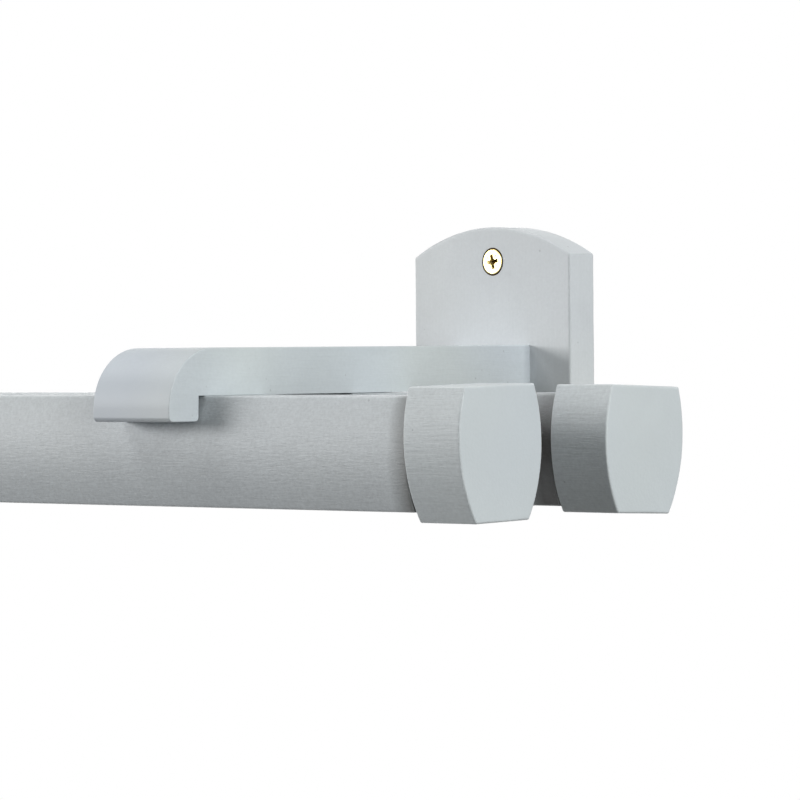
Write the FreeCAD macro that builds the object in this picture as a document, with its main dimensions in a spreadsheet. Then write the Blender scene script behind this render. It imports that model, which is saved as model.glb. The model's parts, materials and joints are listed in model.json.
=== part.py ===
"""A double wooden curtain rod: two round rods that hang under two hooked wooden brackets.

Frame: +X runs along the rods, +Y points into the wall, +Z is up. The wall is the plane Y = 0, and the origin
is the middle of the four wall screws, level with the middle of the bracket arms. All sizes are millimetres.
"""
import FreeCAD, Part
import os

import Sketcher

Vector = FreeCAD.Vector

# Driving sizes: name, value, and what the value measures.
SIZES = (
    ("rod_length", 1200, "length of both rods, without the finials"),
    ("rod_diameter", 35, "diameter of both rods"),
    ("rod_spacing", 65.5, "front rod's axis to rear rod's axis"),
    ("rod_edge", 0.6, "rounding of the rods' end edges"),
    ("front_rod_distance", 150.5, "wall to the front rod's axis"),
    ("bracket_inset", 104.5, "rod's end to the middle of the nearest bracket"),
    ("arm_width", 34, "width of a bracket arm, along the rods"),
    ("arm_height", 14.8, "thickness of the board that the arm is cut from"),
    ("arm_edge", 0.6, "rounding of the arm's long edges"),
    ("nose_radius", 19, "quarter round at the front of the arm"),
    ("nose_thickness", 12.7, "hook's thickness in front of the front rod"),
    ("hook_drop", 8, "how far the hook reaches below the arm's underside"),
    ("hook_edge", 1.5, "rounding of the hook's two lower edges"),
    ("hook_clearance", 1.3, "hook's lower inner edge to the front rod"),
    ("plate_width", 69.6, "width of a wall plate"),
    ("plate_height", 94, "height of a wall plate, over both arches"),
    ("plate_thickness", 12.5, "thickness of a wall plate"),
    ("plate_edge", 0.8, "rounding of the plate's edges"),
    ("arch_rise", 9.6, "height of the arch at each end of the plate"),
    ("screw_edge_distance", 11.6, "top of the plate's arch to the wall screw"),
    ("screw_offset", 0.8, "wall screws' distance from the plate's middle line"),
    ("wall_screw_thread", 4.5, "wall screw's thread diameter"),
    ("wall_screw_shank", 3.3, "wall screw's smooth shank diameter"),
    ("wall_screw_head", 8.3, "wall screw's head diameter"),
    ("wall_screw_length", 50, "wall screw's length over the head"),
    ("wall_hole", 5, "hole in the plate for a wall screw"),
    ("wood_screw_thread", 4, "thread diameter of the arm and rod screws"),
    ("wood_screw_shank", 2.9, "smooth shank diameter of the arm and rod screws"),
    ("wood_screw_head", 7.5, "head diameter of the arm and rod screws"),
    ("wood_hole", 4.4, "hole that an arm or rod screw passes through"),
    ("arm_screw_length", 45, "arm screw's length over the head"),
    ("arm_screw_edge", 8, "arm's side to the middle of an arm screw"),
    ("rod_screw_length", 35, "rod screw's length over the head"),
    ("screw_rim", 0.5, "straight rim of a screw's head"),
    ("screw_tip", 5, "length of a screw's point"),
    ("head_sink", 0.05, "how far a screw's head lies below the wood"),
    ("recess_span", 4.8, "tip to tip of the cross recess at the head's top"),
    ("recess_width", 1.2, "width of one wing of the cross recess"),
    ("recess_depth", 2.2, "depth of the cross recess"),
    ("recess_taper", 0.55, "recess's size at its bottom, as a share of its size at the top"),
    ("finial_length", 22.5, "finial's length along the rod"),
    ("finial_width", 36.5, "finial's greatest width, front to back"),
    ("finial_height", 39.4, "finial's height"),
    ("finial_side_radius", 47.7, "radius of the finial's bulging sides"),
    ("finial_bulge_height", 4.4, "widest level of the finial, above its middle"),
    ("finial_edge", 0.7, "rounding of the finial's edges"),
    ("front_finial_turn", 1.4, "degrees the front right finial is turned, wall side up"),
    ("rear_finial_turn", -2.1, "degrees the rear right finial is turned, wall side down"),
    ("peg_diameter", 10, "diameter of a finial's peg"),
    ("peg_in_finial", 14, "length of the peg that is glued in the finial"),
    ("peg_in_rod", 25, "length of the peg that is pushed into the rod"),
    ("peg_chamfer", 1, "chamfer of the peg's ends"),
    ("turning_clearance", 0.05, "peg to the wall of its bore in the rod, all round"),
    ("end_clearance", 0.1, "finial's inner face to the rod's end"),
    ("seat_clearance", 0.05, "rod to arm, screw to hole, and head to countersink"),
    ("bore_spare", 1, "how much deeper a blind bore is than what it holds"),
)

# Degrees that each kind of screw's cross recess is turned in its head.
WALL_SCREW_TURN = 10
WOOD_SCREW_TURN = 35

# Places that several pieces share, worked out from the driving sizes.
BRACKET_X = "(dims.rod_length / 2 - dims.bracket_inset)"
WALL_SCREW_X = f"({BRACKET_X} + dims.screw_offset)"
WALL_SCREW_Z = "(dims.plate_height / 2 - dims.screw_edge_distance)"
ARM_SCREW_X = "(dims.arm_width / 2 - dims.arm_screw_edge)"
FRONT_ROD_Y = "(-dims.front_rod_distance)"
REAR_ROD_Y = "(dims.rod_spacing - dims.front_rod_distance)"
ROD_Z = "(-dims.arm_height / 2 - dims.seat_clearance - dims.rod_diameter / 2)"

# The hook's lower inner edge clears the rod's side at that level by the hook clearance.
HOOK_LEVEL = "(dims.rod_diameter / 2 + dims.seat_clearance - dims.hook_drop)"
HOOK_INNER = f"(sqrt((dims.rod_diameter / 2) ^ 2 - {HOOK_LEVEL} ^ 2) + dims.hook_clearance)"
HOOK_INNER_Y = f"({FRONT_ROD_Y} - {HOOK_INNER})"
NOSE_Y = f"({HOOK_INNER_Y} - dims.nose_thickness)"

# How deep the screws and pegs go into the wood that holds them.
ARM_SCREW_BITE = "(dims.arm_screw_length + dims.head_sink - dims.plate_thickness)"
ROD_SCREW_BITE = "(dims.rod_screw_length + dims.head_sink - dims.arm_height - dims.seat_clearance)"
WALL_COUNTERSINK = "(dims.wall_screw_head + 2 * (dims.head_sink + dims.screw_rim + dims.seat_clearance))"
WOOD_COUNTERSINK = "(dims.wood_screw_head + 2 * (dims.head_sink + dims.screw_rim + dims.seat_clearance))"
PILOT_RADIUS = "(dims.wood_screw_thread / 2 + dims.seat_clearance)"

# how a sketch numbers its own two axes, and its origin as a point of one of them
SKETCH_AXES = {"horizontal": -1, "vertical": -2}
ORIGIN = (SKETCH_AXES["horizontal"], 1)
TOUCHING = 1e-6

os.makedirs("parts", exist_ok=True)
doc = FreeCAD.newDocument("double_curtain_rod")


def make_sheet():
    """Writes the driving sizes into the sheet, each with its alias and its note."""
    sheet = doc.addObject("Spreadsheet::Sheet", "dims")
    for row, (alias, number, note) in enumerate(SIZES, start=1):
        sheet.set(f"A{row}", alias)
        sheet.set(f"B{row}", str(number))
        sheet.set(f"C{row}", note)
        sheet.setAlias(f"B{row}", alias)
    doc.recompute()
    return sheet


def value(expression):
    """The number that an expression of the sheet's sizes gives now."""
    return float(sheet.evalExpression(expression))


def new_body(name):
    body = doc.addObject("PartDesign::Body", name)
    body.Label = name
    return body


def new_sketch(body, name, role, offset=None, flipped=False):
    """A sketch on one of the body's own origin planes, moved along the plane's normal by an offset."""
    sketch = body.newObject("Sketcher::SketchObject", f"{body.Label}_{name}")
    plane = next(item for item in body.Origin.OriginFeatures if item.Role == role)
    sketch.AttachmentSupport = [(plane, "")]
    sketch.MapMode = "FlatFace"
    sketch.MapReversed = flipped
    if offset:
        sketch.setExpression("AttachmentOffset.Base.z", offset)
    return sketch


def dimension(sketch, kind, places, expression):
    """Adds a dimension and ties it to an expression of the sheet."""
    number = sketch.addConstraint(Sketcher.Constraint(kind, *places, value(expression)))
    name = f"{kind}_{number}"
    sketch.renameConstraint(number, name)
    sketch.setExpression(f"Constraints.{name}", expression)


def locate(sketch, geometry, point, x, y):
    """Ties one point's place to two expressions; None puts the point on that axis."""
    for kind, expression, axis in (("DistanceX", x, "vertical"), ("DistanceY", y, "horizontal")):
        if expression is None:
            sketch.addConstraint(Sketcher.Constraint("PointOnObject", geometry, point, SKETCH_AXES[axis]))
        elif value(expression) < 0:
            dimension(sketch, kind, (geometry, point, *ORIGIN), f"-({expression})")
        else:
            dimension(sketch, kind, (*ORIGIN, geometry, point), expression)


def mirror_points(sketch, first, first_point, second, second_point):
    """Keeps two points mirror images of each other in the sketch's vertical axis."""
    sketch.addConstraint(Sketcher.Constraint("Symmetric", first, first_point, second, second_point,
                                             SKETCH_AXES["vertical"]))


def at(x, y):
    """The sketch point that two expressions give now."""
    return Vector(value(x) if x else 0, value(y) if y else 0, 0)


def polygon(sketch, corners):
    """A closed outline of straight lines through corners given as pairs of expressions."""
    points = [at(x, y) for x, y in corners]
    count = len(points)
    lines = [Part.LineSegment(points[i], points[(i + 1) % count]) for i in range(count)]
    sketch.addGeometry(lines, False)
    for i, (x, y) in enumerate(corners):
        sketch.addConstraint(Sketcher.Constraint("Coincident", i, 2, (i + 1) % count, 1))
        locate(sketch, i, 1, x, y)


def circles(sketch, radius, centres):
    """Circles of one radius at centres given as pairs of expressions."""
    for x, y in centres:
        number = sketch.addGeometry(Part.Circle(at(x, y), Vector(0, 0, 1), value(radius)), False)
        locate(sketch, number, 3, x, y)
        dimension(sketch, "Radius", (number,), radius)


def add_feature(body, kind, name, profile, **sizes):
    """A sketch-based feature whose sizes are expressions of the sheet."""
    feature = body.newObject(f"PartDesign::{kind}", f"{body.Label}_{name}")
    feature.Profile = profile
    for size, expression in sizes.items():
        feature.setExpression(size, expression)
    profile.Visibility = False
    return feature


def cut(body, feature):
    """Recomputes a cutting feature and makes sure that it took wood or metal away."""
    before = feature.BaseFeature.Shape.Volume
    doc.recompute()
    if feature.Shape.Volume >= before - TOUCHING:
        raise RuntimeError(f"{body.Label}: {feature.Name} cuts nothing")
    return feature


def pocket(body, name, profile, depth, reverse=False):
    feature = add_feature(body, "Pocket", name, profile, Length=depth)
    feature.Reversed = reverse
    return cut(body, feature)


def countersunk_holes(body, name, profile, diameter, mouth):
    """Through holes with a right-angled countersink, cut against the sketch's normal."""
    doc.recompute()
    hole = body.newObject("PartDesign::Hole", f"{body.Label}_{name}")
    hole.Profile = profile
    doc.recompute()
    hole.ThreadType = "None"
    hole.DepthType = "ThroughAll"
    hole.HoleCutType = "Countersink"
    hole.HoleCutCustomValues = True
    hole.HoleCutCountersinkAngle = 90
    hole.setExpression("Diameter", diameter)
    hole.setExpression("HoleCutDiameter", mouth)
    profile.Visibility = False
    return cut(body, hole)


def round_edges(body, name, base, radius, wanted):
    """Rounds the edges of a feature that a test picks out."""
    doc.recompute()
    picked = [f"Edge{i}" for i, edge in enumerate(base.Shape.Edges, start=1) if wanted(edge)]
    feature = body.newObject("PartDesign::Fillet", f"{body.Label}_{name}")
    feature.Base = (base, picked)
    feature.setExpression("Radius", radius)
    doc.recompute()
    return feature


def lies_at(edge, axis, place):
    """True if the whole edge lies in the plane where that coordinate has that value."""
    box = edge.BoundBox
    low = getattr(box, axis + "Min")
    high = getattr(box, axis + "Max")
    return abs(low - place) < TOUCHING and abs(high - place) < TOUCHING


def place(body, x=None, y=None, z=None, rotation=None):
    """Puts a finished body in its place: a fixed rotation, and a position tied to the sheet."""
    if rotation:
        body.Placement = FreeCAD.Placement(Vector(), rotation)
    for axis, expression in (("x", x), ("y", y), ("z", z)):
        if expression:
            body.setExpression(f"Placement.Base.{axis}", expression)


def make_plate(name, side):
    """A wall plate with an arch at both ends, so that it fits either way up."""
    body = new_body(name)
    outline = new_sketch(body, "outline", "XZ_Plane")
    half_width = "dims.plate_width / 2"
    shoulder = "(dims.plate_height / 2 - dims.arch_rise)"
    arch_radius = "(((dims.plate_width / 2) ^ 2 + dims.arch_rise ^ 2) / (2 * dims.arch_rise))"
    arch_centre = f"(dims.plate_height / 2 - {arch_radius})"
    right_foot = at(half_width, f"-{shoulder}")
    right_top = at(half_width, shoulder)
    left_foot = Vector(-right_foot.x, right_foot.y, 0)
    left_top = Vector(-right_top.x, right_top.y, 0)
    crest = at(None, "dims.plate_height / 2")
    right_side, top_arch, left_side, bottom_arch = outline.addGeometry([
        Part.LineSegment(right_foot, right_top),
        Part.Arc(right_top, crest, left_top),
        Part.LineSegment(left_top, left_foot),
        Part.Arc(left_foot, -crest, right_foot),
    ], False)
    for first, second in ((right_side, top_arch), (top_arch, left_side),
                          (left_side, bottom_arch), (bottom_arch, right_side)):
        outline.addConstraint(Sketcher.Constraint("Coincident", first, 2, second, 1))
    locate(outline, right_side, 1, half_width, f"-{shoulder}")
    locate(outline, right_side, 2, half_width, shoulder)
    mirror_points(outline, right_side, 2, left_side, 1)
    mirror_points(outline, right_side, 1, left_side, 2)
    dimension(outline, "Radius", (top_arch,), arch_radius)
    dimension(outline, "Radius", (bottom_arch,), arch_radius)
    board = add_feature(body, "Pad", "board", outline, Length="dims.plate_thickness")
    round_edges(body, "soft_edges", board, "dims.plate_edge", lambda edge: True)

    front_centres = new_sketch(body, "wall_screw_centres", "XZ_Plane", offset="dims.plate_thickness")
    circles(front_centres, "dims.wall_hole / 2",
            [("dims.screw_offset", WALL_SCREW_Z), ("dims.screw_offset", f"-{WALL_SCREW_Z}")])
    countersunk_holes(body, "wall_screw_holes", front_centres, "dims.wall_hole", WALL_COUNTERSINK)

    back_centres = new_sketch(body, "arm_screw_centres", "XZ_Plane", flipped=True)
    circles(back_centres, "dims.wood_hole / 2", [(ARM_SCREW_X, None), (f"-{ARM_SCREW_X}", None)])
    countersunk_holes(body, "arm_screw_holes", back_centres, "dims.wood_hole", WOOD_COUNTERSINK)

    # the left plate is the same piece, turned upside down
    half_turn = FreeCAD.Rotation(Vector(0, 1, 0), 180) if side < 0 else None
    place(body, x=f"{side} * {BRACKET_X}", rotation=half_turn)
    return body


def make_arm(name, side):
    """A bracket arm: a board that lies on both rods and hooks down in front of the front one."""
    body = new_body(name)
    outline = new_sketch(body, "outline", "YZ_Plane")
    top = "dims.arm_height / 2"
    underside = "-dims.arm_height / 2"
    hook_foot = "-(dims.arm_height / 2 + dims.hook_drop)"
    rear = "-dims.plate_thickness"
    polygon(outline, [(rear, underside), (rear, top), (NOSE_Y, top), (NOSE_Y, hook_foot),
                      (HOOK_INNER_Y, hook_foot), (HOOK_INNER_Y, underside)])
    board = add_feature(body, "Pad", "board", outline, Length="dims.arm_width")
    board.SideType = "Symmetric"

    # the nose's quarter round ends above the rounding of the hook's lower edge, with a flat between them
    nose_limit = "(dims.arm_height + dims.hook_drop - 2 * dims.hook_edge)"
    nose = round_edges(body, "nose", board, f"min(dims.nose_radius; {nose_limit})",
                       lambda edge: lies_at(edge, "Y", value(NOSE_Y)) and lies_at(edge, "Z", value(top)))
    hook = round_edges(body, "hook_edges", nose, "dims.hook_edge",
                       lambda edge: lies_at(edge, "Z", value(hook_foot)) and edge.BoundBox.XLength > TOUCHING)
    half_width = value("dims.arm_width / 2")
    round_edges(body, "soft_edges", hook, "dims.arm_edge",
                lambda edge: (lies_at(edge, "X", half_width) or lies_at(edge, "X", -half_width))
                and not lies_at(edge, "Y", value(rear)))

    rod_centres = new_sketch(body, "rod_screw_centres", "XY_Plane", offset=top)
    circles(rod_centres, "dims.wood_hole / 2", [(None, FRONT_ROD_Y), (None, REAR_ROD_Y)])
    countersunk_holes(body, "rod_screw_holes", rod_centres, "dims.wood_hole", WOOD_COUNTERSINK)

    pilots = new_sketch(body, "pilot_centres", "XZ_Plane", offset="dims.plate_thickness")
    circles(pilots, PILOT_RADIUS, [(ARM_SCREW_X, None), (f"-{ARM_SCREW_X}", None)])
    pocket(body, "arm_screw_pilots", pilots, f"{ARM_SCREW_BITE} + dims.bore_spare", reverse=True)
    place(body, x=f"{side} * {BRACKET_X}")
    return body


def make_rod(name, y):
    """A round rod with a bore in each end for a finial's peg and a pilot hole under each arm."""
    body = new_body(name)
    section = new_sketch(body, "section", "YZ_Plane")
    circles(section, "dims.rod_diameter / 2", [(None, None)])
    bar = add_feature(body, "Pad", "bar", section, Length="dims.rod_length")
    bar.SideType = "Symmetric"
    half_length = value("dims.rod_length / 2")
    soft = round_edges(body, "soft_ends", bar, "dims.rod_edge",
                       lambda edge: lies_at(edge, "X", half_length) or lies_at(edge, "X", -half_length))

    mouth = new_sketch(body, "peg_bore_mouth", "YZ_Plane", offset="dims.rod_length / 2")
    circles(mouth, "dims.peg_diameter / 2 + dims.turning_clearance", [(None, None)])
    bore = pocket(body, "peg_bore", mouth, "dims.peg_in_rod + dims.bore_spare")

    # the pilot starts above the round crest, so that it opens all of it
    above_crest = "dims.rod_diameter / 2 + dims.bore_spare"
    pilot_mouth = new_sketch(body, "pilot_mouth", "XY_Plane", offset=above_crest)
    circles(pilot_mouth, PILOT_RADIUS, [(BRACKET_X, None)])
    pilot = pocket(body, "rod_screw_pilot", pilot_mouth, f"{ROD_SCREW_BITE} + 2 * dims.bore_spare")

    both_ends = body.newObject("PartDesign::Mirrored", f"{name}_both_ends")
    both_ends.Originals = [bore, pilot]
    middle = next(item for item in body.Origin.OriginFeatures if item.Role == "YZ_Plane")
    both_ends.MirrorPlane = (middle, [""])
    body.Tip = both_ends
    doc.recompute()
    one_end = soft.Shape.Volume - pilot.Shape.Volume
    two_ends = soft.Shape.Volume - both_ends.Shape.Volume
    if abs(two_ends - 2 * one_end) > TOUCHING * soft.Shape.Volume:
        raise RuntimeError(f"{name}: the mirrored bores are missing")
    place(body, y=y, z=ROD_Z)
    return body


def make_finial(name, side, y, turn):
    """A finial: flat top and bottom, bulging front and rear sides, and a bore for its peg."""
    body = new_body(name)
    outline = new_sketch(body, "outline", "YZ_Plane")
    top = "dims.finial_height / 2"
    foot = "-dims.finial_height / 2"
    side_radius = "dims.finial_side_radius"
    bulge = "dims.finial_bulge_height"
    centre_y = f"(dims.finial_width / 2 - {side_radius})"
    half_top = f"({centre_y} + sqrt({side_radius} ^ 2 - ({top} - {bulge}) ^ 2))"
    half_foot = f"({centre_y} + sqrt({side_radius} ^ 2 - ({top} + {bulge}) ^ 2))"
    wall_top = at(half_top, top)
    wall_foot = at(half_foot, foot)
    room_top = Vector(-wall_top.x, wall_top.y, 0)
    room_foot = Vector(-wall_foot.x, wall_foot.y, 0)
    widest = at("dims.finial_width / 2", bulge)
    wall_side, top_line, room_side, foot_line = outline.addGeometry([
        Part.Arc(wall_foot, widest, wall_top),
        Part.LineSegment(wall_top, room_top),
        Part.Arc(room_top, Vector(-widest.x, widest.y, 0), room_foot),
        Part.LineSegment(room_foot, wall_foot),
    ], False)
    for first, second in ((wall_side, top_line), (top_line, room_side),
                          (room_side, foot_line), (foot_line, wall_side)):
        outline.addConstraint(Sketcher.Constraint("Coincident", first, 2, second, 1))
    locate(outline, wall_side, 1, half_foot, foot)
    locate(outline, wall_side, 2, half_top, top)
    mirror_points(outline, top_line, 1, top_line, 2)
    mirror_points(outline, foot_line, 1, foot_line, 2)
    dimension(outline, "Radius", (wall_side,), side_radius)
    dimension(outline, "Radius", (room_side,), side_radius)
    block = add_feature(body, "Pad", "block", outline, Length="dims.finial_length")
    round_edges(body, "soft_edges", block, "dims.finial_edge", lambda edge: True)

    mouth = new_sketch(body, "peg_bore_mouth", "YZ_Plane")
    circles(mouth, "dims.peg_diameter / 2", [(None, None)])
    pocket(body, "peg_bore", mouth, "dims.peg_in_finial + dims.bore_spare", reverse=True)
    place(body, x=f"{side} * (dims.rod_length / 2 + dims.end_clearance)", y=y, z=ROD_Z,
          rotation=finial_rotation(side, turn))
    return body


def finial_rotation(side, turn):
    """A finial faces away from the rods' middle; turn is an expression in degrees, or None."""
    facing = FreeCAD.Rotation(Vector(0, 0, 1), 0 if side > 0 else 180)
    return facing * FreeCAD.Rotation(Vector(1, 0, 0), value(turn) if turn else 0)


def make_peg(name, side, y):
    """A finial's peg: a plain dowel with chamfered ends, glued in the finial."""
    body = new_body(name)
    section = new_sketch(body, "section", "YZ_Plane", offset="-dims.peg_in_rod")
    circles(section, "dims.peg_diameter / 2", [(None, None)])
    dowel = add_feature(body, "Pad", "dowel", section, Length="dims.peg_in_rod + dims.peg_in_finial")
    doc.recompute()
    ends = [value("-dims.peg_in_rod"), value("dims.peg_in_finial")]
    rims = [f"Edge{i}" for i, edge in enumerate(dowel.Shape.Edges, start=1)
            if any(lies_at(edge, "X", end) for end in ends)]
    chamfer = body.newObject("PartDesign::Chamfer", f"{name}_chamfers")
    chamfer.Base = (dowel, rims)
    chamfer.setExpression("Size", "dims.peg_chamfer")
    place(body, x=f"{side} * (dims.rod_length / 2 + dims.end_clearance)", y=y, z=ROD_Z,
          rotation=finial_rotation(side, None))
    return body


def make_screw(name, kind, length, smooth, turn, pointing):
    """A countersunk wood screw along its own Z: smooth under the head, then thread, then the point.

    The thread is a plain cylinder of the thread's outer diameter. The cross recess is a tapered slot,
    cut twice at right angles.
    """
    body = new_body(name)
    head = f"dims.{kind}_screw_head / 2"
    shank = f"dims.{kind}_screw_shank / 2"
    thread = f"dims.{kind}_screw_thread / 2"
    cone_end = f"-(dims.screw_rim + {head} - {shank})"
    profile = new_sketch(body, "profile", "XZ_Plane")
    polygon(profile, [(None, None), (head, None), (head, "-dims.screw_rim"), (shank, cone_end),
                      (shank, f"-({smooth})"), (thread, f"-({smooth})"),
                      (thread, f"-({length} - dims.screw_tip)"), (None, f"-({length})")])
    turned = add_feature(body, "Revolution", "turned", profile)
    turned.ReferenceAxis = (profile, ["V_Axis"])
    turned.Angle = 360
    doc.recompute()

    slots = []
    for level, offset, share in (("top", None, "1"), ("bottom", "-dims.recess_depth", "dims.recess_taper")):
        slot = new_sketch(body, f"recess_{level}", "XY_Plane", offset=offset)
        along = f"dims.recess_span / 2 * {share}"
        across = f"dims.recess_width / 2 * {share}"
        polygon(slot, [(f"-{along}", f"-{across}"), (along, f"-{across}"),
                       (along, across), (f"-{along}", across)])
        slots.append(slot)
    wing = add_feature(body, "SubtractiveLoft", "recess_wing", slots[0])
    wing.Sections = [slots[1]]
    slots[1].Visibility = False
    cut(body, wing)
    cross = body.newObject("PartDesign::PolarPattern", f"{name}_cross_recess")
    cross.Originals = [wing]
    cross.Axis = (slots[0], ["N_Axis"])
    cross.Angle = 90
    cross.Occurrences = 2
    body.Tip = cross
    doc.recompute()
    if cross.Shape.Volume >= wing.Shape.Volume - TOUCHING:
        raise RuntimeError(f"{name}: the second wing of the recess cuts nothing")
    body.Placement = FreeCAD.Placement(Vector(), pointing * FreeCAD.Rotation(Vector(0, 0, 1), turn))
    return body


def make_wall_screws(end, side):
    """The two screws that fix a plate to the wall, heads in front."""
    into_wall = FreeCAD.Rotation(Vector(1, 0, 0), 90)
    smooth = "dims.plate_thickness - dims.head_sink"
    for level, sign in (("upper", 1), ("lower", -1)):
        screw = make_screw(f"wall_screw_{level}_{end}", "wall", "dims.wall_screw_length", smooth,
                           sign * WALL_SCREW_TURN, into_wall)
        place(screw, x=f"{side} * {WALL_SCREW_X}", y="dims.head_sink - dims.plate_thickness",
              z=f"{sign} * {WALL_SCREW_Z}")


def make_arm_screws(end, side):
    """The two screws that hold an arm, driven from the back of the plate into the arm's end grain."""
    out_of_wall = FreeCAD.Rotation(Vector(1, 0, 0), -90)
    smooth = "dims.plate_thickness - dims.head_sink"
    for which, sign in (("outer", side), ("inner", -side)):
        screw = make_screw(f"arm_screw_{which}_{end}", "wood", "dims.arm_screw_length", smooth,
                           sign * WOOD_SCREW_TURN, out_of_wall)
        place(screw, x=f"{side} * {BRACKET_X} + {sign} * {ARM_SCREW_X}", y="-dims.head_sink")


def make_rod_screws(end, side):
    """The two screws that a pair of rods hangs from, driven down through the arm."""
    upright = FreeCAD.Rotation()
    smooth = "dims.arm_height + dims.seat_clearance - dims.head_sink"
    for which, y, sign in (("front", FRONT_ROD_Y, 1), ("rear", REAR_ROD_Y, -1)):
        screw = make_screw(f"rod_screw_{which}_{end}", "wood", "dims.rod_screw_length", smooth,
                           sign * WOOD_SCREW_TURN, upright)
        place(screw, x=f"{side} * {BRACKET_X}", y=y, z="dims.arm_height / 2 - dims.head_sink")


def check_document():
    """Stops if any feature failed or any piece isn't one valid solid."""
    for item in doc.Objects:
        if "Invalid" in item.State or "Error" in item.State:
            raise RuntimeError(f"{item.Name} failed: {item.State}")
    for body in pieces():
        if body.Shape.isNull() or not body.Shape.isValid() or len(body.Shape.Solids) != 1:
            raise RuntimeError(f"{body.Label} isn't one valid solid")


def pieces():
    return [item for item in doc.Objects if item.TypeId == "PartDesign::Body"]


sheet = make_sheet()
make_rod("front_rod", FRONT_ROD_Y)
make_rod("rear_rod", REAR_ROD_Y)
for end, side in (("right", 1), ("left", -1)):
    make_plate(f"wall_plate_{end}", side)
    make_arm(f"bracket_arm_{end}", side)
    make_wall_screws(end, side)
    make_arm_screws(end, side)
    make_rod_screws(end, side)
    for row, y in (("front", FRONT_ROD_Y), ("rear", REAR_ROD_Y)):
        # only the right-hand finials are turned a little from upright
        turn = f"dims.{row}_finial_turn" if side > 0 else None
        make_finial(f"finial_{row}_{end}", side, y, turn)
        make_peg(f"finial_peg_{row}_{end}", side, y)

doc.recompute()
check_document()
for body in pieces():
    body.Shape.exportStep(f"parts/{body.Label}.step")
print(len(pieces()), "pieces written")
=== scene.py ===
"""The looks of a double wooden curtain rod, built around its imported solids.

The shared frame, in metres: +X along the rods, +Y into the wall, +Z up. Every visible piece of wood is a
closed mesh with hand-softened edges, every screw has its recess and its thread, and all materials are
procedural.
"""
import json
import math

import bmesh
import bpy
from mathutils import Matrix, Vector, noise


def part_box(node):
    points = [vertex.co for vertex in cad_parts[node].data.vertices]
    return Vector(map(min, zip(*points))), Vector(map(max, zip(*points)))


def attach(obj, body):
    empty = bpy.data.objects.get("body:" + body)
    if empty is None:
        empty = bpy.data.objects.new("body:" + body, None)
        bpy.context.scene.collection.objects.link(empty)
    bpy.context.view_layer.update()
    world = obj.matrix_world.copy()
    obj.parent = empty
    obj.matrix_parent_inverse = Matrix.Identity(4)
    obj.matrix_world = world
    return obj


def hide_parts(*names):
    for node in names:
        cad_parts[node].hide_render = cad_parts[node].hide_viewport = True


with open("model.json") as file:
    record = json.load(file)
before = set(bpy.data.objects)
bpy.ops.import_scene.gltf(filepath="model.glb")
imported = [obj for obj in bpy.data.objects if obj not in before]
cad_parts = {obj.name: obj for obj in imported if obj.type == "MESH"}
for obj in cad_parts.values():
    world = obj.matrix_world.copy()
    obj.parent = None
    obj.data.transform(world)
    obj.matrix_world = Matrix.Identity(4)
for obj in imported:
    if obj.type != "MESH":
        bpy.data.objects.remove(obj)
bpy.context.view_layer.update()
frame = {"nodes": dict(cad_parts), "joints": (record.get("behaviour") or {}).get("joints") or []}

MM = 0.001
HALF_TURN = math.pi
QUARTER_TURN = math.pi / 2
FULL_TURN = 2 * math.pi

# The camera: its place, its turn from looking along +Y, its tilt and its roll, and its lens.
CAMERA_PLACE = (1.4908, -1.1250, 0.005575)
CAMERA_TURN = math.radians(43)
CAMERA_TILT = math.radians(-0.621)
CAMERA_ROLL = math.radians(-0.502)
CAMERA_LENS = 200.475
CAMERA_SENSOR = 36
CAMERA_NEAR = 0.05
CAMERA_FAR = 60

# The studio: what the soft boxes point at, each one's place seen from there, and the floor.
# A level is the value that a white surface facing the box alone would have.
AIM = Vector((0.50, -0.10, 0.0))
SOFT_BOXES = {
    # name: (degrees right of -Y, degrees up, distance, width, height, level, colour)
    "key": (-43, 8.5, 5.5, 2.75, 1.4, 0.15, (1.0, 1.0, 1.0)),
    "key_left": (-54, 8.0, 5.5, 2.75, 1.4, 0.41, (1.0, 1.0, 1.0)),
    "front_right": (68, 0, 4.0, 1.0, 1.4, 0.185, (0.98, 1.0, 1.0)),
    "right": (92, 10, 4.0, 1.1, 1.6, 0.11, (0.97, 1.0, 1.01)),
    "right_high": (89, 34, 4.0, 1.8, 1.8, 0.61, (0.98, 1.0, 1.0)),
    "front_high": (60, 40, 4.0, 1.8, 1.8, 0.06, (1.0, 1.0, 1.0)),
    "left_high": (-60, 55, 5.5, 2.5, 2.5, 0.355, (1.0, 1.0, 1.0)),
    "back": (-135, 4, 4.0, 2.0, 1.6, 0.12, (1.0, 1.0, 1.0)),
}
WORLD_LEVEL = 0.0
FLOOR_LEVEL = -1.10
FLOOR_RADIUS = 1.9
FLOOR_RINGS = (0.0, 0.25, 0.5, 1.0)
FLOOR_SEGMENTS = 96
FLOOR_FADE_START = 0.55
FLOOR_FADE_END = 0.97 * FLOOR_RADIUS

# Forms of the wood that the frame's boxes don't give. An edge is the radius that rounds it.
SEAT_CLEARANCE = 0.05 * MM
NOSE_RADIUS = 19 * MM
NOSE_THICKNESS = 12.7 * MM
HOOK_EDGE = 1.5 * MM
ARM_EDGE = 0.4 * MM
# The arm's edges that lie on the rods are crisper: their share of the other edges' radius.
UNDERSIDE_SHARE = 0.25
ARCH_RISE = 9.6 * MM
PLATE_EDGE = 0.8 * MM
BARREL_SIDE_RADIUS = 47.7 * MM
FINIAL_WIDTH = 36.5 * MM
FINIAL_HEIGHT = 39.4 * MM
FINIAL_BULGE_HEIGHT = 4.4 * MM
FINIAL_EDGE = 0.7 * MM
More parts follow.
